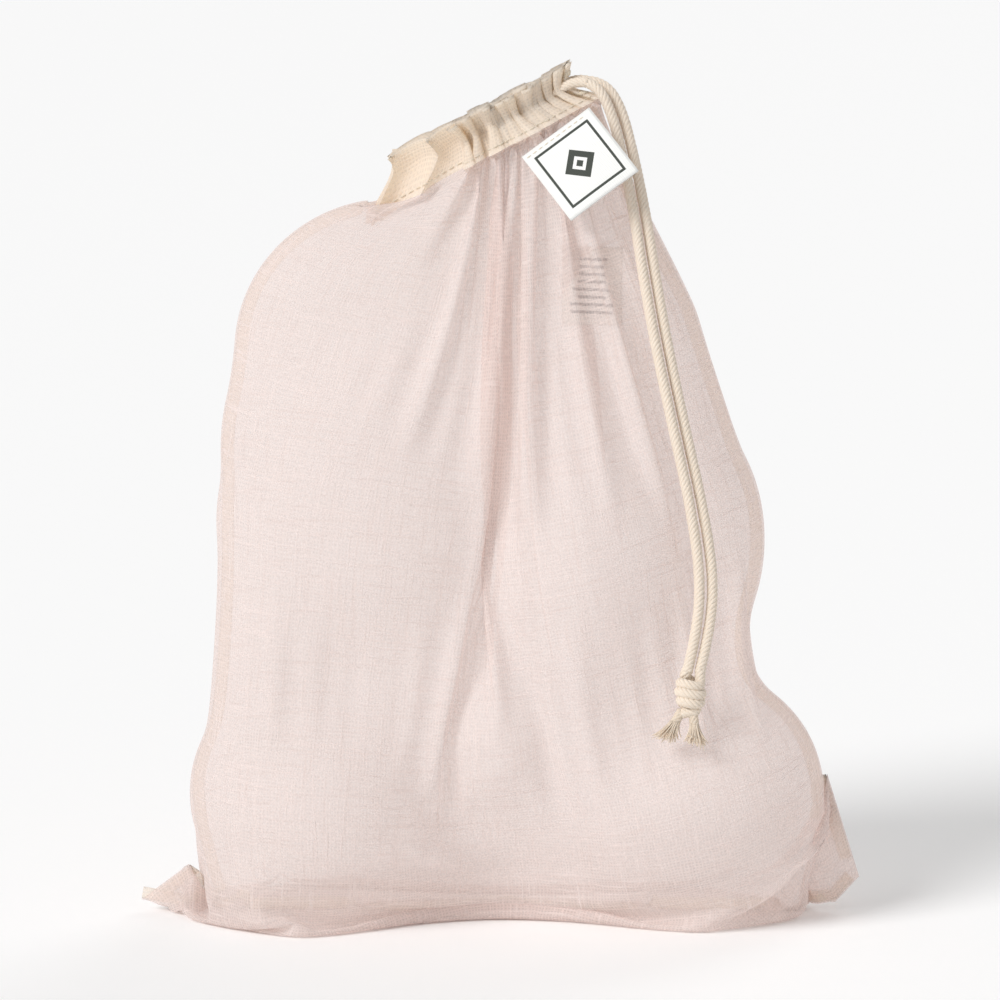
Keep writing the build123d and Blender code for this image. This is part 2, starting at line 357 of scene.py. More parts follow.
class DrawnRim:
    """The gathered hem round the drawn mouth, as a shape that the way round the cloth maps to."""

    front_pleats = (1.9, 2.3, 1.7, 2.1, 1.3, 0.8, 1.1, 0.7, 0.9, 1.2, 0.7, 1.0, 0.8, 1.1, 0.7, 0.9,
                    0.8)
    back_pleats = (0.9, 0.7, 1.0, 0.8, 1.1, 0.7, 1.2, 0.8, 1.0, 0.7, 1.1, 0.9, 1.3, 1.1, 1.6, 1.4,
                   1.9)
    levels = (0.0, 3.5, 7.0, 10.5, CASING_DEPTH)        # below the top edge; the cord is at 7
    half_length = (28.5, 26.6, 25.4, 27.6, 31.5)
    half_depth = (8.6, 7.2, 6.2, 8.4, 12.0)
    pleat_depth = (6.8, 5.4, 4.4, 5.8, 8.4)
    label_angle = -0.75                                 # where the maker's label is sewn

    def __init__(self) -> None:
        """Spread the pleats round the cloth, give each its own lie, and even out the rim."""
        widths = np.array(self.front_pleats + self.back_pleats)
        front = len(self.front_pleats)
        widths[:front] *= PANEL_WIDTH / widths[:front].sum()
        widths[front:] *= PANEL_WIDTH / widths[front:].sum()
        self.edges = np.concatenate([[0.0], np.cumsum(widths)])
        grain = np.random.default_rng(SEED)
        broad = widths / widths.mean()
        self.fullness = grain.uniform(0.72, 1.25, len(widths)) * np.clip(broad, 0.75, 1.3)
        self.lean = grain.uniform(-0.4, 0.4, len(widths))
        self.slant = grain.uniform(-0.45, 0.45, len(widths))
        self.scallop = grain.uniform(-0.4, 1.9, len(widths))
        angles = np.linspace(0, 2 * math.pi, 721)
        steps = np.hypot(np.diff(self.half_length[2] * np.cos(angles)),
                         np.diff(self.half_depth[2] * np.sin(angles)))
        self.angles = angles
        self.travel = np.concatenate([[0.0], np.cumsum(steps)]) / steps.sum()

    def angle(self, way: np.ndarray) -> np.ndarray:
        """Angle round the rim: pi at the left seam, then by the front to the right seam."""
        share = np.mod(way, ROUND) / ROUND
        # The ends are gathered more loosely than the middle.
        travel = np.mod(share + 0.5 + 0.020 * np.sin(4 * math.pi * share), 1.0)
        return np.interp(travel, self.travel, self.angles)

    def point(self, way: np.ndarray, depth: np.ndarray | float,
              lift: float = 0.0) -> np.ndarray:
        """Points of the pleated hem.

        Args:
            way: Place round the cloth in mm, 0 at the left seam and increasing along the front.
            depth: Depth below the top edge in mm.
            lift: Distance outside the middle of the pleats.

        Returns:
            Points in mm, with one more axis than `way`.
        """
        way, depth = np.broadcast_arrays(np.asarray(way, float), np.asarray(depth, float))
        angle = self.angle(way)
        long, deep, fold = (np.interp(depth, self.levels, sizes) for sizes in
                            (self.half_length, self.half_depth, self.pleat_depth))
        turns = np.interp(np.mod(way, ROUND), self.edges, np.arange(len(self.edges)))
        pleat = np.minimum(turns.astype(int), len(self.fullness) - 1)
        phase = 2 * math.pi * (turns - pleat)
        rise = 0.5 - 0.5 * np.cos(phase)
        cosine, sine = np.cos(angle), np.sin(angle)
        normal = np.stack([cosine / long, sine / deep], -1)
        normal /= np.linalg.norm(normal, axis=-1, keepdims=True)
        tangent = np.stack([-normal[..., 1], normal[..., 0]], -1)
        below = depth / CASING_DEPTH
        right = smoothstep(0.45, 0.90, cosine)
        beside_label = np.exp(-((angle_gap(angle, self.label_angle) / 0.45) ** 2))
        out = fold * rise * self.fullness[pleat] * (1 - 0.45 * beside_label) + lift
        aside = fold * (0.46 * np.sin(phase)
                        + rise * (self.lean[pleat] + self.slant[pleat] * (below - 0.45))
                        * (1 - 0.7 * right))
        across = np.stack([long * cosine, deep * sine], -1)
        across += normal * out[..., None] + tangent * aside[..., None]
        wavy = self.scallop[pleat] * rise * (1 - 0.85 * right) + 0.5 * np.sin(0.083 * way)
        drop = depth + wavy * (1 - below)
        # The loose left end flares outwards and droops.
        left = smoothstep(-0.55, -1.0, cosine)
        along = across[..., 0] - left * (0.90 * depth + 6.5)
        drop = drop + left * (0.30 * depth - 1.0 - 0.80 * depth * (1 - below))
        return (RIM_CENTRE + along[..., None] * RIM_ALONG + across[..., 1:2] * DEPTHWAYS
                - drop[..., None] * RIM_UP)


# Cross-sections that the cloth starts from: height, middle in X, half width, half depth.
START_SECTIONS = np.array([
    (0.0, 0.0, 112.0, 54.0), (30.0, -1.0, 113.0, 54.0), (55.0, -3.5, 107.0, 56.0),
    (85.0, -9.5, 97.0, 54.0), (150.0, -12.0, 92.0, 50.0), (180.0, -14.5, 87.0, 45.0),
    (205.0, -18.0, 78.0, 38.0),
])


@dataclass(frozen=True)
class Corner:
    """A corner of the flat bag that sticks out at the foot, held by its two seams."""

    tip: np.ndarray
    side_seam: np.ndarray       # direction of the side seam away from the tip
    bottom_seam: np.ndarray
    side_held: float = 22.0     # length of each seam that keeps that direction, in mm
    bottom_held: float = 13.0


CORNERS = (
    Corner(np.array([-130.5, 2.0, 4.0]), np.array([0.80, -0.04, 0.60]),
           np.array([0.98, -0.06, -0.19])),
    Corner(np.array([117.0, 0.0, 12.0]), np.array([-0.30, 0.0, 0.954]),
           np.array([-0.67, 0.0, -0.74]), side_held=38.0),
)
TOP_SECTION = START_SECTIONS[-1, 0]
UNDERSIDE = 67.0            # cloth from the bottom seam round to the bag's widest level, in mm
WIDEST = 43.0               # height of that level
SHOULDER = 232.0            # place up the cloth from which it draws in to the hem
LAID_GAP = 0.4              # height at which the underside is laid out above the floor
REST_GAP = 0.3              # least height of the cloth above the floor
LAYER_GAP = 0.25            # half the distance that a corner's two layers keep
EARS_FROM = 104.0           # distance from the middle at which the corners are two flat layers
EARS_TOP = 70.0             # height to which they are


class GauzeTube:
    """The sewn cloth as a grid of points, column by column round the bag, relaxed as cloth."""

    def __init__(self, columns: int, rows: int, rim: DrawnRim) -> None:
        """Lay out the flat cloth.

        Args:
            columns: Points round the bag, a multiple of 4.
            rows: Points from the bottom seam up to the casing's stitches.
            rim: The drawn rim that the top row is sewn to.
        """
        self.columns, self.rows, self.rim = columns, rows, rim
        self.way = np.arange(columns) * ROUND / columns
        self.height = np.linspace(0.0, BODY_HEIGHT, rows)
        self.cell_up = BODY_HEIGHT / (rows - 1)
        taper = 1 - 0.35 * smoothstep(BODY_HEIGHT - 70, BODY_HEIGHT, self.height)
        self.cell_round = (ROUND / columns) * taper
        self.push_share = 0.5
        self.points = np.zeros((columns, rows, 3), np.float32)
        self.free = np.ones((columns, rows), np.float32)
        self.free[:, -1] = 0.0

    def hold_corners(self) -> None:
        """Fix the seams next to the two corners that stick out."""
        for column, corner in zip((0, self.columns // 2), CORNERS):
            held = int(corner.side_held / self.cell_up) + 1
            rise = np.arange(held)[:, None] * self.cell_up
            self.points[column, :held] = corner.tip + rise * corner.side_seam
            self.free[column, :held] = 0.0
            step = ROUND / self.columns
            for away in range(1, int(corner.bottom_held / step) + 1):
                for near in (column - away, (column + away) % self.columns):
                    self.points[near, 0] = corner.tip + away * step * corner.bottom_seam
                    self.free[near, 0] = 0.0

    def seed(self) -> None:
        """Place the cloth near its filled shape, with its pleats begun."""
        share = np.mod(self.way, PANEL_WIDTH) / PANEL_WIDTH
        front = self.way < PANEL_WIDTH
        share = np.where(front, share, 1 - share)[:, None]
        side = np.where(front, -1.0, 1.0)[:, None]
        angle = math.pi * share
        tall = self.height[None, :]
        under = np.clip(tall / UNDERSIDE, 0, 1) * math.pi / 2
        level = np.where(tall < UNDERSIDE, WIDEST * (1 - np.cos(under)) + LAID_GAP,
                         WIDEST + (tall - UNDERSIDE) * (TOP_SECTION - WIDEST)
                         / (SHOULDER - UNDERSIDE))
        level = np.clip(level, LAID_GAP, TOP_SECTION)
        middle, wide, deep = (np.interp(level, START_SECTIONS[:, 0], START_SECTIONS[:, k])
                              for k in (1, 2, 3))
        body = np.stack([middle - wide * np.cos(angle), side * deep * np.sin(angle),
                         level * np.ones_like(angle)], -1)
        tips = (CORNERS[0].tip * (1 - share[..., None]) + CORNERS[1].tip * share[..., None])
        seam = tips * np.array([1, 1, 0.4]) + np.array([0, 0, 0.6])
        low = np.sin(under)[..., None]
        body[..., :2] = seam[..., :2] * (1 - low) + body[..., :2] * low
        ring = self.rim.point(self.way[:, None], CASING_DEPTH)
        high = np.clip((tall - SHOULDER) / (BODY_HEIGHT - SHOULDER), 0, 1)[..., None]
        points = body * (1 - high) + ring * high
        grain = np.random.default_rng(SEED)
        waves = grain.normal(size=(6, 4))
        for a, b, c, d in waves:
            points[..., 1] += 0.5 * np.sin(2 * math.pi * (round(3 * a) * self.way[:, None] / ROUND)
                                           + b * tall / 60 + c) * (1 - high[..., 0]) * d
        self.points = points.astype(np.float32)
        self.points[:, -1] = self.rim.point(self.way, CASING_DEPTH)
        self.hold_corners()

    @staticmethod
    def pull(one: np.ndarray, two: np.ndarray, free_one: np.ndarray, free_two: np.ndarray,
             rest: np.ndarray | float, firmness: float) -> None:
        """Bring pairs of points towards their distance in the flat cloth, in place."""
        gap = two - one
        length = np.sqrt(np.einsum("...k,...k", gap, gap)) + 1e-6
        share = firmness * (1 - rest / length) / (free_one + free_two + 1e-6)
        one += gap * (share * free_one)[..., None]
        two -= gap * (share * free_two)[..., None]

    def turn(self, steps: int) -> None:
        """Renumber the columns by `steps`, so that pairs can start at any column."""
        self.points = np.roll(self.points, -steps, axis=0)
        self.free = np.roll(self.free, -steps, axis=0)

    def sweep(self, shear: float, bend: float) -> None:
        """Enforce the flat cloth's lengths once, in every direction."""
        up, slant = self.cell_up, np.hypot(self.cell_round[:-1], self.cell_up)
        for _ in range(2):
            p, f = self.points, self.free
            self.pull(p[0::2], p[1::2], f[0::2], f[1::2], self.cell_round, 0.95)
            self.pull(p[0::2, :-1], p[1::2, 1:], f[0::2, :-1], f[1::2, 1:], slant, shear)
            self.pull(p[0::2, 1:], p[1::2, :-1], f[0::2, 1:], f[1::2, :-1], slant, shear)
            self.turn(1)
        self.turn(-2)
        p, f = self.points, self.free
        quads, flags = p.reshape(-1, 4, self.rows, 3), f.reshape(-1, 4, self.rows)
        self.pull(quads[:, 0:2], quads[:, 2:4], flags[:, 0:2], flags[:, 2:4],
                  2 * self.cell_round, bend)
        self.turn(2)
        quads = self.points.reshape(-1, 4, self.rows, 3)
        flags = self.free.reshape(-1, 4, self.rows)
        self.pull(quads[:, 0:2], quads[:, 2:4], flags[:, 0:2], flags[:, 2:4],
                  2 * self.cell_round, bend)
        self.points = quads.reshape(self.columns, self.rows, 3)
        self.turn(-2)
        p, f = self.points, self.free
        for start in (0, 1):
            n = (self.rows - start) // 2
            self.pull(p[:, start:start + 2 * n:2], p[:, start + 1:start + 2 * n:2],
                      f[:, start:start + 2 * n:2], f[:, start + 1:start + 2 * n:2], up, 0.95)
        for start in range(4):
            n = (self.rows - start - 3) // 4 + 1
            self.pull(p[:, start:start + 4 * n:4][:, :n], p[:, start + 2::4][:, :n],
                      f[:, start:start + 4 * n:4][:, :n], f[:, start + 2::4][:, :n],
                      2 * up, bend)
        self.sew_bottom()

    def sew_bottom(self) -> None:
        """Keep the front and back panels together along the bottom seam."""
        mirror = np.mod(-np.arange(self.columns), self.columns)
        self.points[:, 0] = (self.points[:, 0] + self.points[mirror, 0]) / 2

    def rest_on_forms(self, before: np.ndarray, grip: float) -> None:
        """Keep the cloth outside the forms and above the floor, where it drags."""
        p = self.points
        for form in FORMS:
            centre, radii = np.float32(form.centre), np.float32(form.radii)
            q = (p - centre) / radii
            size = np.sqrt(np.einsum("...k,...k", q, q)) + 1e-6
            inside = (size < 1) & (self.free > 0)
            if inside.any():
                out = centre + radii * q[inside] / size[inside][:, None]
                p[inside] = out + (before[inside] - out) * grip
        low = (p[..., 2] < REST_GAP) & (self.free > 0)
        p[..., :2][low] += (before[..., :2][low] - p[..., :2][low]) * 0.5
        p[..., 2] = np.maximum(p[..., 2], REST_GAP)
        # The two layers of each corner that sticks out stay on their own sides.
        half = self.columns // 2
        far = (np.abs(p[..., 0]) > EARS_FROM) & (p[..., 2] < EARS_TOP)
        front, back = p[:half + 1, ..., 1], p[half + 1:, ..., 1]
        np.minimum(front, -LAYER_GAP, out=front, where=far[:half + 1])
        np.maximum(back, LAYER_GAP, out=back, where=far[half + 1:])

    def relax(self, steps: int, sweeps: int, fall: float = 0.05, shear: float = 0.25,
              bend: float = 0.08, damping: float = 0.94, grip: float = 0.3) -> None:
        """Let the cloth settle under its own weight.

        Args:
            steps: Steps in time.
            sweeps: Sweeps over all lengths in each step.
            fall: Fall from rest in one step, in mm.
            shear: Firmness against skewing the weave.
            bend: Firmness against bending.
            damping: Share of the speed kept from step to step.
            grip: Share of sliding that the forms stop.
        """
        speed = np.zeros_like(self.points)
        for step in range(steps):
            before = self.points.copy()
            speed[..., 2] -= fall
            if step % 4 == 0:
                nudge = self.pressing()
            speed += nudge
            self.points = self.points + speed * self.free[..., None]
            for _ in range(sweeps):
                self.sweep(shear, bend)
            self.rest_on_forms(before, grip)
            speed = (self.points - before) * damping

    def pressing(self) -> np.ndarray:
        """What the presses add to each point's speed in one step."""
        nudge = np.zeros_like(self.points)
        for press in PRESSES:
            away = self.points - np.float32(press.centre)
            share = np.exp(-np.einsum("...k,...k", away, away) / press.reach ** 2)
            nudge += share[..., None] * np.float32(press.push)
        return nudge * self.push_share

    def finer(self) -> "GauzeTube":
        """The same cloth with twice as many points each way."""
        fine = GauzeTube(2 * self.columns, 2 * self.rows - 1, self.rim)
        old = self.points
        wide = np.empty((2 * self.columns, self.rows, 3), np.float32)
        wide[0::2] = old
        wide[1::2] = (old + np.roll(old, -1, axis=0)) / 2
        fine.points[:, 0::2] = wide
        fine.points[:, 1::2] = (wide[:, 1:] + wide[:, :-1]) / 2
        fine.points[:, -1] = self.rim.point(fine.way, CASING_DEPTH)
        fine.hold_corners()
        return fine

    def smooth(self, passes: int, share: float = 0.5) -> None:
        """Even out ripples no wider than the grid."""
        for _ in range(passes):
            p = self.points
            mean = (np.roll(p, 1, 0) + np.roll(p, -1, 0))[:, 1:-1] + p[:, 2:] + p[:, :-2]
            inner = self.free[:, 1:-1, None] * share
            p[:, 1:-1] += (mean / 4 - p[:, 1:-1]) * inner

    def panel_columns(self, panel: Panel) -> np.ndarray:
        """Column numbers of one panel, from seam to seam."""
        half = self.columns // 2
        return np.arange(half + 1) if panel is Panel.FRONT else np.mod(
            np.arange(half, 2 * half + 1), self.columns)


class ClothBody:
    """The bag's cloth: two panels, the hem round the cord, and the turned-in seams."""

    columns, rows = 136, 80
    settling_steps, quick_steps, finer_steps = 420, 60, 60
    stitch_depth = 13.2         # of the hem's stitches, below its top edge
    seam_width = 4.6            # of the turned-in edges of a seam
    seam_middle = np.array([-8.0, 0.0, 95.0])       # point that they turn towards

    def __init__(self) -> None:
        """Settle the cloth and choose its finish."""
        self.rim = DrawnRim()
        self.gauze = GauzeFinish().build()
        self.doubled = GauzeFinish("doubled_cotton_gauze", thread="#FFF8EE", glow="#FFF1DC",
                                   cover=0.86).build()
        self.allowance = GauzeFinish("seam_allowance_gauze", thread="#FDF6EE", glow="#FBF0E2",
                                     cover=0.50).build()
        self.thread = FibreFinish("cotton_sewing_thread", "#F6EEDF", "#D9C9B0", 0.35).build()
        tube = GauzeTube(self.columns, self.rows, self.rim)
        tube.seed()
        tube.relax(self.settling_steps, 8, fall=0.09)
        tube = tube.finer()
        tube.relax(self.finer_steps, 10, fall=0.05)
        tube.smooth(2)
        self.tube = tube

    def build(self) -> None:
        """Make every cloth piece."""
        for panel in Panel:
            self.build_panel(panel)
            self.build_casing(panel)
            self.build_hem_stitches(panel)
        points, half = self.tube.points, self.tube.columns // 2
        mirror = np.mod(-np.arange(half + 1), self.tube.columns)
        low = int(BOTTOM_ALLOWANCE / self.tube.cell_up) + 1
        self.build_allowance("left_side", points[0], points[1], points[-1], low)
        self.build_allowance("right_side", points[half], points[half + 1], points[half - 1], low)
        self.build_allowance("bottom", points[:half + 1, 0], points[:half + 1, 1],
                             points[mirror, 1], 0)
        self.build_bartacks()

    def build_hem_stitches(self, panel: Panel) -> None:
        """The row of stitches along the hem's lower edge, over every pleat."""
        way = panel.start + np.linspace(0, PANEL_WIDTH, 1600)
        line = self.rim.point(way, self.stitch_depth, 0.3)
        piece = make_piece(f"{panel.value}_hem_stitches", *joined(stitches(line, 2.2, 0.9, 0.3)),
                           self.thread, Body.BAG, "thread")
        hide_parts(f"{panel.value}_casing_stitching")

    def build_allowance(self, name: str, seam: np.ndarray, one: np.ndarray, two: np.ndarray,
                        low: int) -> None:
        """A seam's turned-in edges: two layers that stand into the bag.

        Args:
            name: Which seam it is.
            seam: Points of the seam.
            one: Neighbouring points in one panel.
            two: Neighbouring points in the other panel.
            low: Number of the first point that has an allowance.
        """
        apart = one - two
        along = np.gradient(seam, axis=0)
        along /= np.linalg.norm(along, axis=1, keepdims=True)
        inward = self.seam_middle - seam
        inward[:, 1] = 0.0
        inward /= np.linalg.norm(inward, axis=1, keepdims=True)
        sunk = ((one + two) / 2 - seam) / self.tube.cell_up
        inward = 0.35 * inward + 1.6 * sunk * np.linalg.norm(sunk, axis=1, keepdims=True)
        inward -= along * np.einsum("ik,ik->i", along, inward)[:, None]
        inward /= np.linalg.norm(inward, axis=1, keepdims=True) + 1e-6
        for _ in range(14):
            inward[1:-1] = (inward[:-2] + 2 * inward[1:-1] + inward[2:]) / 4
        inward /= np.linalg.norm(inward, axis=1, keepdims=True) + 1e-6
        apart -= inward * np.einsum("ik,ik->i", apart, inward)[:, None]
        apart /= np.linalg.norm(apart, axis=1, keepdims=True) + 1e-6
        seam, inward, apart = seam[low:-1], inward[low:-1], apart[low:-1]
        width, half_thick = self.seam_width, 0.25
        wave = 0.5 * np.sin(np.arange(len(seam)) * 0.9) + 0.4 * np.sin(np.arange(len(seam)) * 0.37)
        outline = ((0.5, 0.0), (1.2, half_thick), (3.4, half_thick), (width, 0.1),
                   (width, -0.1), (3.4, -half_thick), (1.2, -half_thick))
        rings = np.stack([seam + inward * d + apart * (t + wave[:, None] * d / width * 0.5)
                          for d, t in outline], 1)
        rings[..., 2] = np.maximum(rings[..., 2], REST_GAP / 2)
        faces = ring_faces(len(seam), len(outline))
        length = np.arange(len(seam))[:, None] * self.tube.cell_up
        deep = np.array([d for d, _ in outline])[None, :]
        uv = np.stack(np.broadcast_arrays(deep, length), -1).reshape(-1, 2) * MM
        piece = make_piece(f"{name}_seam_allowance", rings.reshape(-1, 3), faces, self.allowance,
                           Body.BAG, "gauze_seam", uv)
        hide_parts(f"{name}_seam")

    def build_bartacks(self) -> None:
        """Two bars of close stitches that keep the cord's slit from tearing."""
        bars = []
        for level in (3.2, 11.0):
            way = np.linspace(PANEL_WIDTH - 9, PANEL_WIDTH - 1, 15)
            swing = 0.75 * np.where(np.arange(15) % 2 == 0, 1.0, -1.0)
            zigzag = self.rim.point(way, level + swing, 0.35)
            bars.append((evenly(zigzag, 0.5), 0.28, 6))
        piece = make_piece("slit_bartacks", *joined(bars), self.thread, Body.BAG, "thread")
        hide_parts("exit_bartacks")

    def build_panel(self, panel: Panel) -> None:
        """One gauze panel from the bottom seam to the casing's stitches."""
        tube = self.tube
        columns = tube.panel_columns(panel)
        points = tube.points[columns]
        way = panel.start + np.linspace(0, PANEL_WIDTH, len(columns))
        uv = np.stack(np.broadcast_arrays(way[:, None], tube.height[None, :]), -1) * MM
        piece = make_piece(f"{panel.value}_gauze_panel", points.reshape(-1, 3),
                           grid_faces(len(columns), tube.rows), self.gauze, Body.BAG, "gauze",
                           uv.reshape(-1, 2))
        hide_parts(f"{panel.value}_panel")

    def build_casing(self, panel: Panel) -> None:
        """The hem of one panel: up to the rim, over, and down inside to the stitches."""
        columns = 420
        way = panel.start + np.linspace(0, PANEL_WIDTH, columns + 1)
        fall = np.linspace(CASING_DEPTH, 0.0, 13)
        inner = np.linspace(0.0, CASING_DEPTH, 9)[1:]
        rows = [self.rim.point(way, d, 0.0) for d in fall]
        rows += [self.rim.point(way, d, -min(4.6, 1.6 + 1.0 * d)) for d in inner]
        flat = np.concatenate([BODY_HEIGHT + CASING_DEPTH - fall, PANEL_HEIGHT + inner])
        points = np.stack(rows, 1)
        uv = np.stack(np.broadcast_arrays(way[:, None], flat[None, :]), -1) * MM
        piece = make_piece(f"{panel.value}_hem", points.reshape(-1, 3),
                           grid_faces(columns + 1, len(flat)), self.doubled, Body.BAG, "hem",
                           uv.reshape(-1, 2))
        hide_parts(f"{panel.value}_casing")


def route_points(name: str, controls: list[tuple[float, float, float]]) -> np.ndarray:
    """Follow a smooth NURBS route.

    Args:
        name: Name of the route.
        controls: Its control points in mm.

    Returns:
        Points along the route in mm, in order.
    """
    curve = bpy.data.curves.new(name, "CURVE")
    curve.dimensions = "3D"
    curve.resolution_u = 24
    spline = curve.splines.new("NURBS")
    spline.points.add(len(controls) - 1)
    for point, place in zip(spline.points, controls):
        point.co = (*(c * MM for c in place), 1.0)
    spline.order_u = 3
    spline.use_endpoint_u = True
    carrier = bpy.data.objects.new(name, curve)
    bpy.context.scene.collection.objects.link(carrier)
    line = bpy.data.meshes.new_from_object(carrier)
    points = np.array([tuple(v.co) for v in line.vertices]) / MM
    bpy.data.objects.remove(carrier)
    bpy.data.curves.remove(curve)
    bpy.data.meshes.remove(line)
    return points


def evenly(points: np.ndarray, step: float) -> np.ndarray:
    """Points at even steps along a line of points."""
    lengths = np.concatenate([[0.0], np.cumsum(np.linalg.norm(np.diff(points, axis=0), axis=1))])
    places = np.linspace(0.0, lengths[-1], max(2, round(lengths[-1] / step) + 1))
    return np.stack([np.interp(places, lengths, points[:, k]) for k in range(3)], 1)


def carried_frames(line: np.ndarray) -> tuple[np.ndarray, np.ndarray, np.ndarray]:
    """Tangents and two side directions along a line, turning as little as they can."""
    tangent = np.gradient(line, axis=0)
    tangent /= np.linalg.norm(tangent, axis=1, keepdims=True)
    side = np.cross(tangent[0], (0.31, 0.86, 0.41))
    sides = []
    for t in tangent:
        side = side - t * side.dot(t)
        side /= np.linalg.norm(side)
        sides.append(side)
    sides = np.array(sides)
    return tangent, sides, np.cross(tangent, sides)


def tube(line: np.ndarray, radius: np.ndarray | float, sides: int,
         first: int = 0) -> tuple[np.ndarray, list]:
    """A closed round tube along a line.

    Args:
        line: Points of its middle.
        radius: Its radius, or one for each point.
        sides: Number of sides.
        first: Number that its first corner point gets.

    Returns:
        Corner points and faces.
    """
    _, across, over = carried_frames(line)
    turn = np.arange(sides) * 2 * math.pi / sides
    radius = np.broadcast_to(np.asarray(radius, float), (len(line),))
    ring = (across[:, None] * np.cos(turn)[None, :, None]
            + over[:, None] * np.sin(turn)[None, :, None])
    points = (line[:, None] + ring * radius[:, None, None]).reshape(-1, 3)
    faces = ring_faces(len(line), sides, first)
    last = first + (len(line) - 1) * sides
    faces.append(tuple(first + k for k in reversed(range(sides))))
    faces.append(tuple(last + k for k in range(sides)))
    return points, faces


def joined(tubes: list[tuple[np.ndarray, float, int]]) -> tuple[np.ndarray, list]:
    """Corner points and faces of many tubes, each given as its line, radius and sides."""
    points, faces, count = [], [], 0
    for line, radius, sides in tubes:
        corners, skin = tube(line, radius, sides, count)
        points.append(corners)
        faces += skin
        count += len(corners)
    return np.concatenate(points), faces


def plies(line: np.ndarray, diameter: float, lay: float = 10.0, count: int = 6,
          step: float = 0.9) -> list[tuple[np.ndarray, float, int]]:
    """The twisted plies of a cord.

    Args:
        line: Middle of the cord.
        diameter: Diameter over all plies.
        lay: Length in which a ply goes round once.
        count: Number of plies.
        step: Distance between rings.

    Returns:
        One tube for each ply.
    """
    middle = evenly(line, step)
    _, across, over = carried_frames(middle)
    travel = np.arange(len(middle)) * np.linalg.norm(middle[1] - middle[0])
    found = []
    for ply in range(count):
        turn = 2 * math.pi * (travel / lay + ply / count)
        offset = across * np.cos(turn)[:, None] + over * np.sin(turn)[:, None]
        found.append((middle + offset * 0.31 * diameter, 0.195 * diameter, 8))
    return found


def stitches(line: np.ndarray, length: float = 2.1, gap: float = 0.8,
             radius: float = 0.24) -> list[tuple[np.ndarray, np.ndarray, int]]:
    """Short stitches of thread along a line on the cloth, each dipping in at both ends."""
    found, pitch = [], length + gap
    path = evenly(line, pitch / 6)
    shape = np.array([0.35, 0.85, 1.0, 0.85, 0.35])
    for start in range(0, len(path) - 6, 6):
        found.append((path[start:start + 5], radius * shape, 6))
    return found


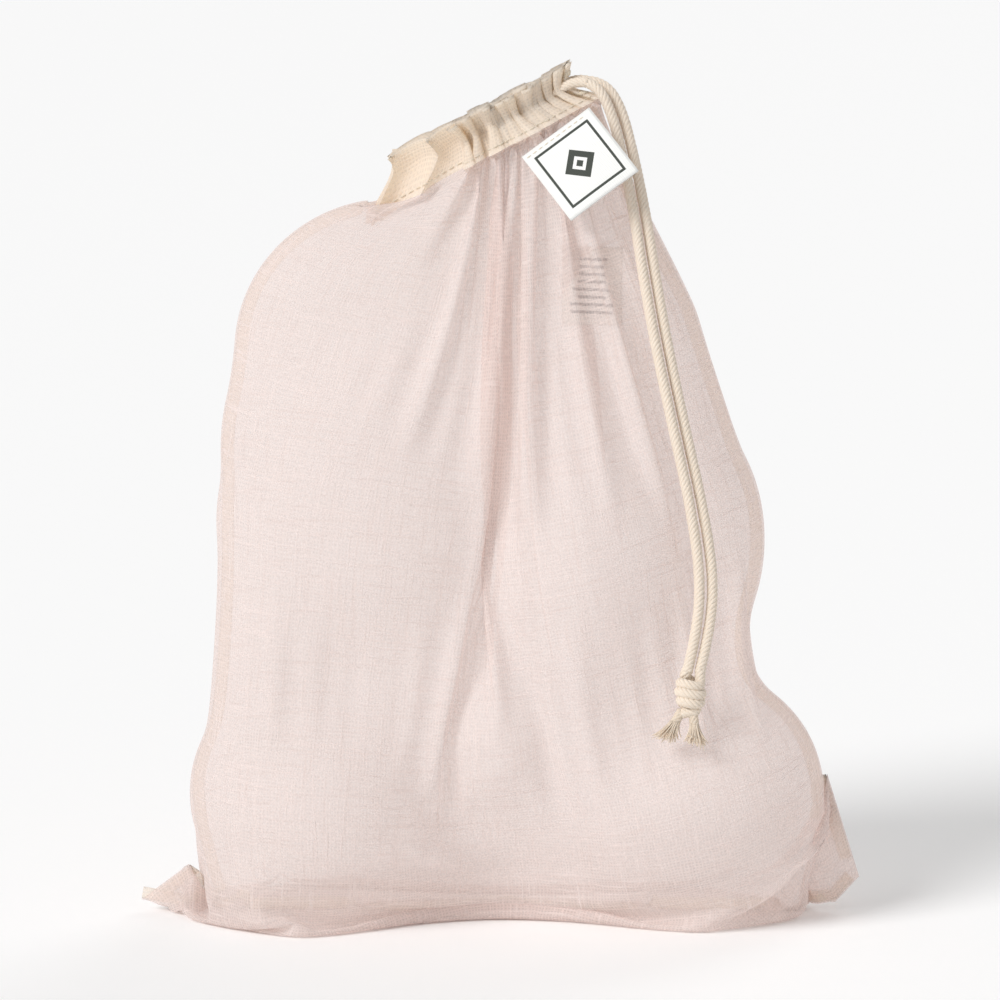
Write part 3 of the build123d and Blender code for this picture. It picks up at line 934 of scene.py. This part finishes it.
@dataclass
class Drawstring:
    """Two cotton cords from the drawn hem down to the knot that joins them, and their tails."""

    rim: DrawnRim
    diameter: float = CORD_DIAMETER
    front_route: list = field(default_factory=lambda: [
        (22.8, -6.2, 285.1), (26.6, -7.6, 283.4), (30.6, -9.2, 275.0), (34.0, -11.5, 262.0),
        (37.8, -15.6, 243.5), (41.0, -21.6, 221.5), (45.4, -29.4, 197.0), (51.0, -35.8, 171.0),
        (56.6, -38.6, 146.0), (60.0, -40.2, 122.5), (58.8, -43.6, 105.0), (55.4, -48.0, 92.0)])
    rear_route: list = field(default_factory=lambda: [
        (23.1, -1.6, 285.5), (28.4, -3.1, 285.0), (33.8, -5.6, 277.0), (37.6, -8.8, 262.8),
        (41.6, -13.4, 243.9), (45.0, -19.6, 221.8), (49.4, -27.2, 197.0), (54.9, -33.4, 171.2),
        (60.6, -36.6, 146.4), (64.4, -38.4, 122.8), (63.2, -42.4, 105.2), (59.6, -47.4, 92.0)])
    front_length: float = 207.8
    rear_length: float = 212.1
    pull: tuple[float, float, float] = (-0.154, -0.212, -0.965)
    knot_turns: float = 1.55
    knot_places: int = 20       # control points of one cord's winding in the knot
    yarns: int = 110            # in each frayed tail

    def __post_init__(self) -> None:
        """Choose the finishes and find the knot's axis."""
        self.cotton = FibreFinish("twisted_cotton_cord", "#FFF7EC", "#F3DFC8", 0.28,
                                  bump=0.16, glow=0.18).build()
        self.fray = FibreFinish("frayed_cotton", "#FFF6EA", "#EFDCC4", 0.2, glow=0.3).build()
        self.down = np.array(self.pull) / np.linalg.norm(self.pull)
        self.top = (np.array(self.front_route[-1]) + np.array(self.rear_route[-1])) / 2
        self.across = np.array([1.0, 0.0, -0.16]) / math.hypot(1.0, 0.16)
        self.over = np.cross(self.down, self.across)

    def build(self) -> None:
        """Make the strands, the knot, the tails and the loop in the hem."""
        knot = self.build_knot()
        tails = [self.build_tail("front", -1), self.build_tail("rear", 1)]
        for name, route, length, extras in (
                ("front", self.front_route, self.front_length, [knot, *tails]),
                ("rear", self.rear_route, self.rear_length, [])):
            line = route_points(f"{name}_strand_route", route)
            piece = make_piece(f"{name}_cord_strand", *joined(plies(line, self.diameter)),
                               self.cotton, None, "cord")
            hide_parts(f"drawstring_{name}_strand")
            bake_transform(piece)
        self.build_loop()

    def knot_point(self, across: float, over: float, down: float) -> tuple[float, float, float]:
        """A point placed from the knot's top, in mm."""
        return tuple(self.top + across * self.across + over * self.over + down * self.down)

    def build_knot(self) -> bpy.types.Object:
        """Both cords wound round each other and drawn tight."""
        wound = []
        for side in (-1, 1):
            route = [self.knot_point(side * 2.1, 0.0, -1.4), self.knot_point(side * 2.3, 0.0, 0.6)]
            start = math.pi if side < 0 else 0.0
            for share in np.arange(self.knot_places) / (self.knot_places - 1):
                turn = start + 2 * math.pi * self.knot_turns * share
                wide = 2.8 + 1.2 * math.sin(math.pi * share)
                route.append(self.knot_point(wide * math.cos(turn), 0.82 * wide * math.sin(turn),
                                             2.6 + 8.8 * share + 1.5 * math.cos(turn - 0.6)))
            route.append(self.knot_point(side * 1.9, 0.0, 14.2))
            wound += plies(route_points("knot_route", route), 3.6, lay=9.0, step=0.6)
        core = np.array([self.knot_point(0.0, 0.0, d) for d in (3.4, 5.2, 7.0, 8.8, 10.6)])
        wound.append((core, np.array([1.2, 2.6, 2.9, 2.6, 1.2]), 10))
        piece = make_piece("drawstring_overhand_knot", *joined(wound), self.cotton, Body.END,
                           "cord")
        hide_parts("drawstring_knot")
        return piece

    def build_tail(self, name: str, side: int) -> bpy.types.Object:
        """One cord's end below the knot: a stub of cord that frays into loose yarns.

        Args:
            name: "front" or "rear".
            side: -1 for the tail at the left, 1 for the one at the right.

        Returns:
            The tail.
        """
        grain = np.random.default_rng(SEED + side + 2)
        root = np.array(self.knot_point(side * 1.9, 0.0, 13.4))
        lean = self.down + self.across * (side * 0.34 - 0.08)
        stub = np.array([root + lean * d for d in (0.0, 1.5, 3.0, 4.6)])
        parts = plies(stub, 3.3, step=0.6)
        for _ in range(self.yarns):
            angle, reach = grain.uniform(0, 2 * math.pi), math.sqrt(grain.uniform(0, 1))
            spread = self.across * math.cos(angle) + self.over * math.sin(angle)
            start = root + lean * 3.8 + spread * 1.6 * reach
            long = grain.uniform(4.6, 6.9)
            bend = grain.normal(size=3) * 0.55
            steps = np.linspace(0, 1, 7)[:, None]
            line = (start + lean * long * steps + spread * reach * 2.3 * steps ** 1.4
                    + bend * steps ** 2)
            parts.append((line, np.linspace(0.27, 0.14, 7), 5))
        piece = make_piece(f"{name}_frayed_tail", *joined(parts), self.fray, Body.END,
                           "cord_fray")
        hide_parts(f"{name}_tail_tuft")
        return piece

    def build_loop(self) -> None:
        """The cord's loop inside the hem, whose ends meet the free strands at the exit."""
        inset, level = 2.6, 7.0
        ring = []
        for angle in np.radians(np.arange(-28, -333, -15)):
            place = (RIM_CENTRE + RIM_ALONG * (self.rim.half_length[1] - inset) * math.cos(angle)
                     + DEPTHWAYS * (self.rim.half_depth[1] - inset) * math.sin(angle)
                     - RIM_UP * level)
            ring.append(tuple(place))
        controls = [self.front_route[0], (18.0, -5.0, 285.9), *ring, (18.4, -0.6, 286.8),
                    self.rear_route[0]]
        line = route_points("loop_route", controls)
        piece = make_piece("cord_loop_in_hem", *joined(plies(line, 3.5)), self.cotton, Body.BAG,
                           "cord")
        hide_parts("drawstring_loop")


@dataclass(frozen=True)
class WovenLabelFinish:
    """Damask-woven polyester tape: satin, fine ribs, with a woven frame and a plain lozenge."""

    name: str
    ground: str
    ink: str
    width: float                # of the label, in mm
    height: float
    lines: bool = False         # rows of plain bars in place of the frame and lozenge
    rib: float = 0.5            # real ribs are 0.25 mm; drawn wider so that they show

    def build(self) -> bpy.types.Material:
        """Build the design from the label's flat coordinates, which run from 0 to 1."""
        m = blank_material(self.name)
        flat = add_node(m, "TexCoord").outputs["UV"]
        centred = add_node(m, "VectorMath", {"operation": "MULTIPLY_ADD"}, i0=flat,
                           i1=(self.width, self.height, 0.0),
                           i2=(-self.width / 2, -self.height / 2, 0.0)).outputs[0]
        ends = add_node(m, "VectorMath", {"operation": "ABSOLUTE"}, i0=centred).outputs[0]
        parts = add_node(m, "SeparateXYZ", None, Vector=ends)
        across, up = parts.outputs[0], parts.outputs[1]
        if self.lines:
            signed = add_node(m, "SeparateXYZ", None, Vector=centred).outputs[1]
            row = add_node(m, "Math", {"operation": "DIVIDE"}, i0=signed, i1=2.6).outputs[0]
            number = add_node(m, "Math", {"operation": "FLOOR"}, i0=row).outputs[0]
            within = add_node(m, "Math", {"operation": "FRACT"}, i0=row).outputs[0]
            bar = add_node(m, "Math", {"operation": "COMPARE"}, i0=within, i1=0.5, i2=0.2)
            reach = add_node(m, "TexWhiteNoise", {"noise_dimensions": "1D"}, W=number)
            length = add_node(m, "Math", {"operation": "MULTIPLY_ADD"},
                              i0=reach.outputs["Value"], i1=4.0, i2=self.width / 2 - 6.5)
            short = add_node(m, "Math", {"operation": "LESS_THAN"}, i0=across,
                             i1=length)
            edge = add_node(m, "Math", {"operation": "LESS_THAN"}, i0=up,
                            i1=self.height / 2 - 3.5)
            inner = add_node(m, "Math", {"operation": "MULTIPLY"}, i0=bar,
                             i1=short)
            ink = add_node(m, "Math", {"operation": "MULTIPLY"}, i0=inner,
                           i1=edge).outputs[0]
        else:
            ring = add_node(m, "Math", {"operation": "MAXIMUM"}, i0=across, i1=up).outputs[0]
            frame_line = add_node(m, "Math", {"operation": "COMPARE"}, i0=ring,
                                  i1=self.width / 2 - 3.4, i2=0.45).outputs[0]
            lozenge = add_node(m, "Math", {"operation": "ADD"}, i0=across, i1=up).outputs[0]
            heart = add_node(m, "Math", {"operation": "COMPARE"}, i0=lozenge, i1=4.6,
                             i2=1.5).outputs[0]
            dot = add_node(m, "Math", {"operation": "LESS_THAN"}, i0=lozenge, i1=1.5).outputs[0]
            both = add_node(m, "Math", {"operation": "MAXIMUM"}, i0=heart, i1=dot).outputs[0]
            ink = add_node(m, "Math", {"operation": "MAXIMUM"}, i0=frame_line, i1=both).outputs[0]
        ribs = add_node(m, "TexWave", {"bands_direction": "Y"}, Vector=centred,
                        Scale=math.pi / 10 / self.rib).outputs["Fac"]
        picks = add_node(m, "TexWave", {"bands_direction": "X"}, Vector=centred,
                         Scale=math.pi / 10 / (1.6 * self.rib)).outputs["Fac"]
        weave = add_node(m, "Math", {"operation": "MULTIPLY_ADD"}, i0=picks, i1=0.5, i2=ribs)
        tone = add_node(m, "MapRange", None, Value=weave, From_Max=1.5, To_Min=0.88,
                        To_Max=1.0).outputs[0]
        ground = add_node(m, "Mix", {"data_type": "RGBA"}, i0=ink, i6=linear(self.ground),
                          i7=linear(self.ink)).outputs[2]
        colour = add_node(m, "VectorMath", {"operation": "SCALE"}, i0=ground, Scale=tone)
        bump = add_node(m, "Bump", None, Strength=0.5, Distance=0.12 * MM,
                        Height=weave)
        satin = add_node(m, "BsdfPrincipled", None, Base_Color=colour, Roughness=0.55,
                         Sheen_Weight=0.15, Normal=bump)
        add_node(m, "OutputMaterial", None, Surface=satin)
        return m


@dataclass
class SewnLabel:
    """A woven label that hangs from one sewn edge."""

    name: str
    middle: tuple[float, float, float]      # of the sewn edge
    edge: tuple[float, float, float]
    fall: tuple[float, float, float]
    width: float
    drop: float
    finish: WovenLabelFinish
    body: Body
    slot: str
    curl: float                             # how far its middle stands proud
    thickness: float = 0.5

    def build(self, thread: bpy.types.Material) -> None:
        """Make the tape and the stitches along its sewn edge."""
        edge = np.array(self.edge) / np.linalg.norm(self.edge)
        facing = np.cross(edge, self.fall)
        facing *= -np.sign(facing[1]) / np.linalg.norm(facing)
        fall = np.cross(facing, edge)
        fall *= -np.sign(fall[2])
        count = 25
        u, v = np.meshgrid(np.linspace(0, 1, count), np.linspace(0, 1, count), indexing="ij")
        proud = self.curl * (np.sin(math.pi * v * 0.8) * (0.6 + 0.4 * u)
                             + 0.35 * np.sin(math.pi * u) * v)
        points = (np.array(self.middle) + edge * ((u - 0.5) * self.width)[..., None]
                  + fall * (v * self.drop)[..., None] + facing * (0.35 + proud)[..., None])
        piece = make_piece(self.name, points.reshape(-1, 3), grid_faces(count, count),
                           self.finish.build(), self.body, self.slot,
                           np.stack([u, v], -1).reshape(-1, 2))
        skin = piece.modifiers.new("thickness", "SOLIDIFY")
        skin.thickness, skin.offset = self.thickness * MM, 0.0
        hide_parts(self.name.removesuffix("_tape"))
        row = points[1:-1, 1] + facing * 0.3 + fall * 0.3
        sewn = make_piece(self.name.removesuffix("_tape") + "_stitches",
                          *joined(stitches(row, 1.7, 0.7, 0.2)), thread, self.body, "thread")
        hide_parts(self.name.removesuffix("_tape") + "_stitching")


class Studio:
    """Pale floor, soft lights and the camera."""

    look_at = Vector((-6.8, 0.0, 143.0)) * MM
    elevation = math.radians(8.0)
    distance = 1.6
    lens = 169.0
    far = 100.0                 # farthest that the camera sees
    floor_reach = 30.0
    ambient = 0.50              # strength of the light from all round

    def build(self) -> None:
        """Make the floor, the lights and the camera."""
        floor_material = blank_material("pale_floor")
        shade = add_node(floor_material, "BsdfPrincipled", None, Base_Color=linear("#FFFFFF"),
                         Roughness=0.9)
        add_node(floor_material, "OutputMaterial", None, Surface=shade)
        mesh = bpy.data.meshes.new("floor")
        mesh.from_pydata([(x * self.floor_reach, y * self.floor_reach, 0)
                          for x, y in ((-1, -1), (1, -1), (1, 1), (-1, 1))], [], [(0, 1, 2, 3)])
        mesh.materials.append(floor_material)
        floor = bpy.data.objects.new("floor", mesh)
        bpy.context.scene.collection.objects.link(floor)
        world = bpy.data.worlds.new("soft_studio")
        world.use_nodes = True
        sky = world.node_tree.nodes["Background"].inputs
        sky["Color"].default_value = linear("#FFFFFF")
        sky["Strength"].default_value = self.ambient
        bpy.context.scene.world = world
        self.sun("key", (-0.70, -0.62, 0.66), 2.0, 24.0)
        self.sun("back", (0.45, 0.75, 0.60), 0.5, 30.0)
        camera_data = bpy.data.cameras.new("camera")
        camera_data.lens = self.lens
        camera_data.clip_end = self.far
        camera = bpy.data.objects.new("camera", camera_data)
        bpy.context.scene.collection.objects.link(camera)
        back = Vector((0, -math.cos(self.elevation), math.sin(self.elevation)))
        camera.location = self.look_at + back * self.distance
        camera.rotation_mode = "QUATERNION"
        camera.rotation_quaternion = (-back).to_track_quat("-Z", "Y")
        bpy.context.scene.camera = camera
        bpy.context.scene.view_settings.view_transform = "Standard"

    def sun(self, name: str, towards: tuple[float, float, float], strength: float,
            spread: float) -> None:
        """One broad, even light from a direction.

        Args:
            name: Name of the light.
            towards: Direction in which the light stands.
            strength: Its strength in watts per square metre.
            spread: Its breadth in degrees, which softens its shadows.
        """
        data = bpy.data.lights.new(name, "SUN")
        data.energy, data.angle = strength, math.radians(spread)
        lamp = bpy.data.objects.new(name, data)
        lamp.rotation_mode = "QUATERNION"
        lamp.rotation_quaternion = Vector(towards).to_track_quat("Z", "Y")
        bpy.context.scene.collection.objects.link(lamp)


def main() -> None:
    """Build the studio and every sub-assembly in order."""
    logging.basicConfig(level=logging.INFO, format="%(message)s")
    Studio().build()
    cloth = ClothBody()
    Drawstring(cloth.rim).build()
    cloth.build()
    label_middle = np.array([0.5, -18.0, 260.9]) + 14.0 * np.array([0.804, 0.121, 0.583])
    SewnLabel("maker_label_tape", tuple(label_middle), (0.80, 0.12, 0.58), (0.52, -0.34, -0.78),
              28.0, 28.0, WovenLabelFinish("damask_woven_label", "#FBFBF8", "#3A4038", 28.0, 28.0),
              Body.LABEL, "woven_label", 1.2).build(cloth.thread)
    SewnLabel("care_label_tape", (25.0, 19.6, 228.0), (0.93, -0.37, 0.0), (0.0, 0.0, -1.0),
              22.0, 27.0, WovenLabelFinish("printed_care_tape", "#F1F0EC", "#5B5D62", 22.0, 27.0,
                                           lines=True),
              Body.CARE, "care_tape", 0.4).build(cloth.thread)


if __name__ == "__main__":
    main()
